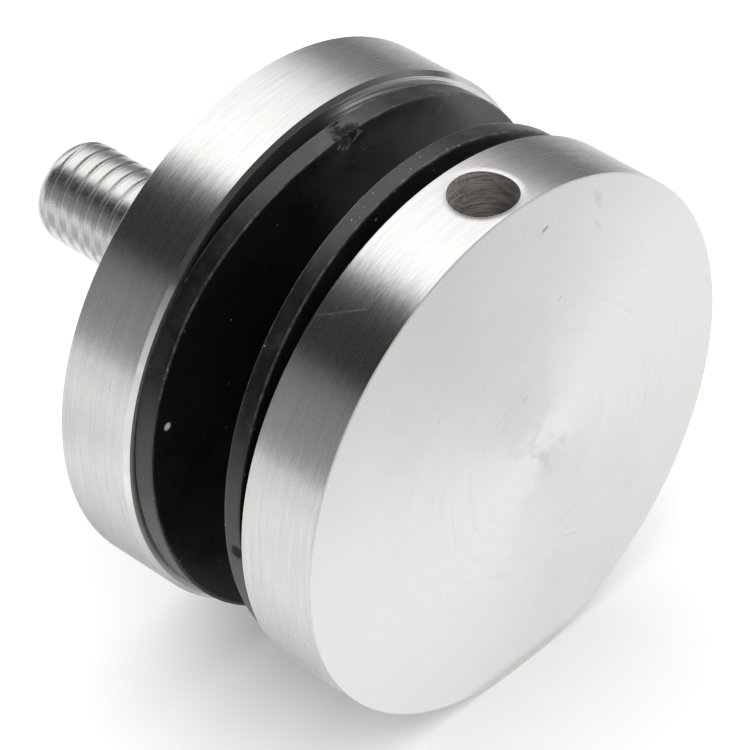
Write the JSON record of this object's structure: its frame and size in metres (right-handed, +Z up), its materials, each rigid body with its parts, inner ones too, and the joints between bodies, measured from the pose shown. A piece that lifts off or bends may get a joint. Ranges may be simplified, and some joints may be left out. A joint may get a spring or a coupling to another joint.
{
  "type": "glass point fixing",
  "caption": "Round point fixing: a base disc and a screw-on cap disc clamp a glass panel between rubber gaskets, with a threaded stud behind and a turning hole in the cap's rim.",
  "frame": {"origin": "centre of the base disc's rear face, which lies on the wall, on the axis of the stud", "axes": "+Y along the stud into the wall, -Y out through the cap, +Z up through the turning hole in the cap's rim"},
  "size_m": [0.05, 0.0539, 0.05],
  "materials": {
    "disc_steel": "turned stainless steel with fine circular brushing",
    "thread_steel": "rolled stainless thread, satin",
    "gasket_rubber": "black sheet rubber, semi-matt, dusty",
    "sleeve_plastic": "black moulded nylon, matt"
  },
  "bodies": {
    "base": {"base_disc": "disc_steel", "mounting_stud": "thread_steel", "rear_gasket": "gasket_rubber", "glass_sleeve": "sleeve_plastic"},
    "gasket_carrier": {"front_gasket": "gasket_rubber"},
    "cap": {"cap_disc": "disc_steel", "clamp_bolt": "thread_steel"}
  },
  "joints": [
    {"name": "cap_travel", "type": "slide", "parent": "base", "child": "gasket_carrier", "axis": [0, -1, 0], "range_m": [-0.00155, 0.0066]},
    {"name": "cap_turn", "type": "hinge", "parent": "gasket_carrier", "child": "cap", "pos_m": [0, -0.0211, 0], "axis": [0, -1, 0], "range_deg": [-372, 1584]}
  ],
  "couplings": [
    {"joint": "cap_travel", "follows": "cap_turn", "m_per_rad": 0.00023873}
  ]
}
